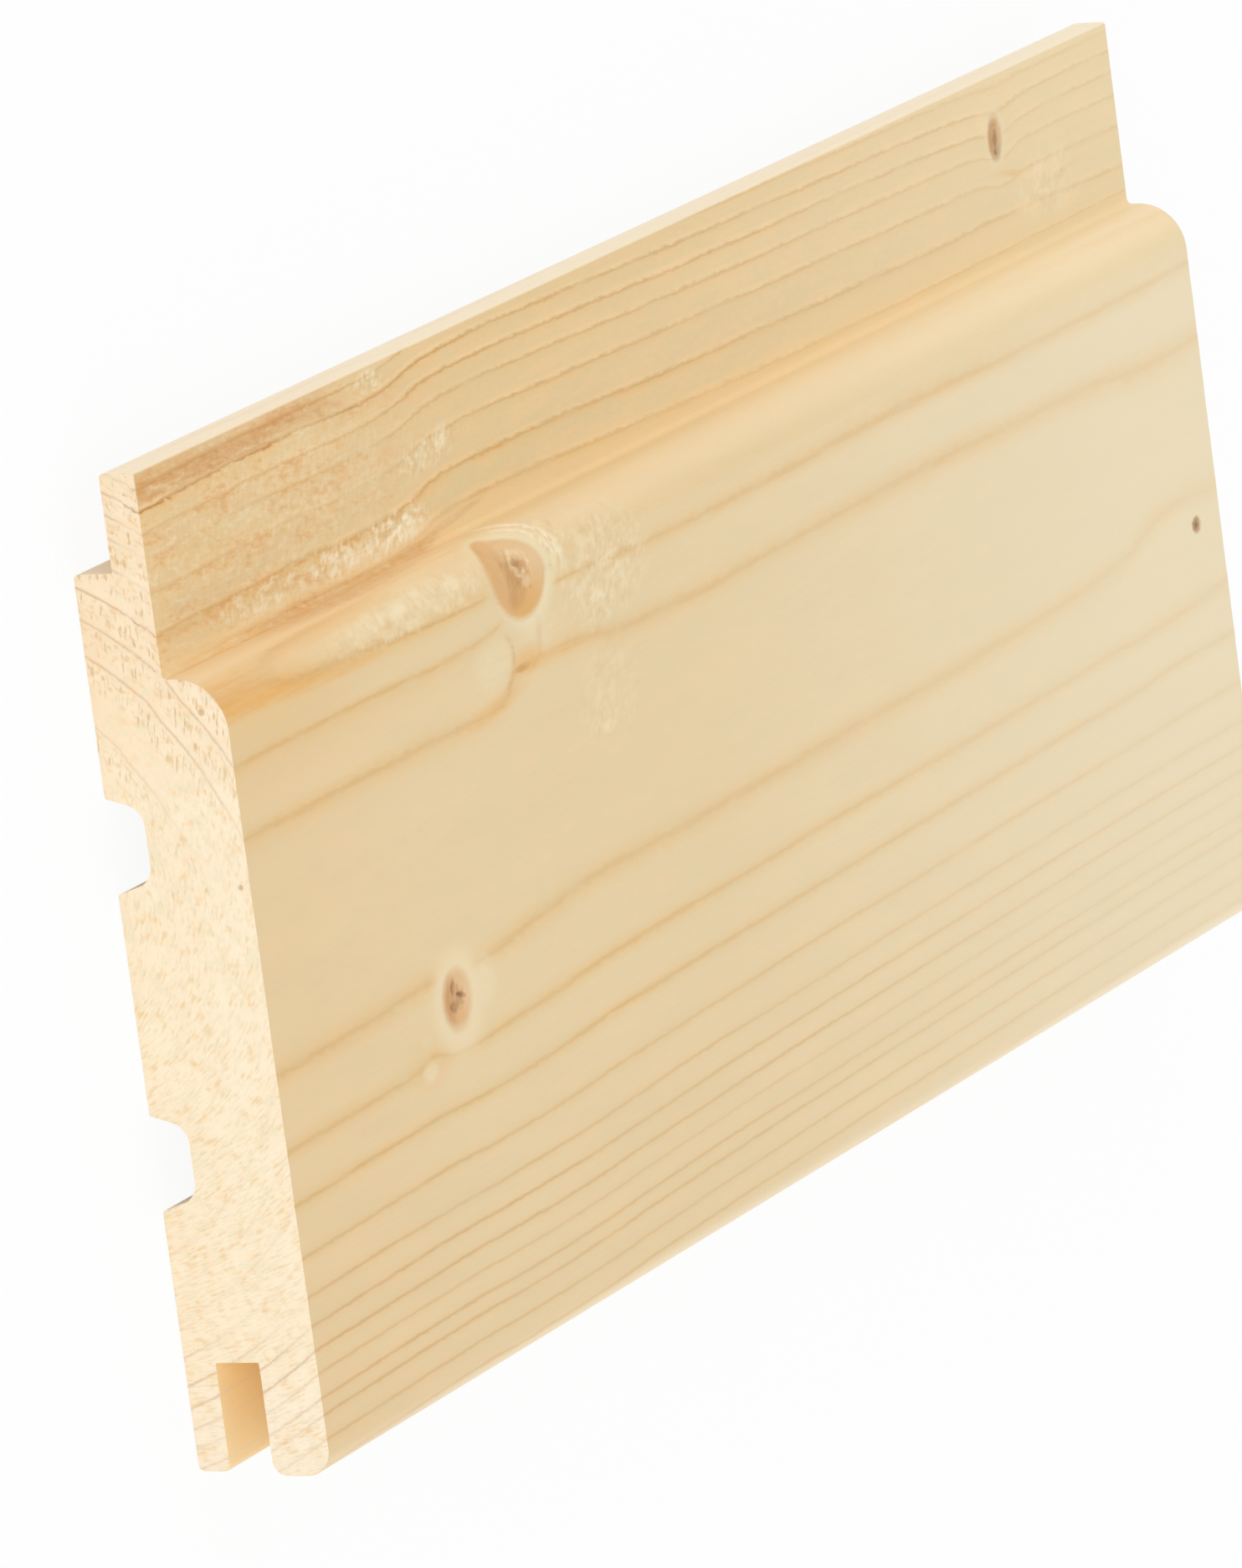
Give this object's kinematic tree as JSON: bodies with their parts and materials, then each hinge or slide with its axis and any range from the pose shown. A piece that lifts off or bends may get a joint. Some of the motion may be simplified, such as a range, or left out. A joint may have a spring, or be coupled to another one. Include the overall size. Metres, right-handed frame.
{
  "type": "tongue and groove board",
  "caption": "Short length of planed softwood panelling board with a tongue along one edge, a groove along the other, a shadow gap beside the tongue and relief grooves in the back.",
  "frame": {"origin": "middle of the board's back, at the level of the back face", "axes": "+X along the grain, +Y across the board towards the tip of the tongue, +Z out of the face that shows on the wall"},
  "size_m": [0.22, 0.096, 0.014],
  "materials": {
    "spruce": "planed, untreated"
  },
  "bodies": {
    "root": {"board": "spruce"}
  },
  "joints": []
}
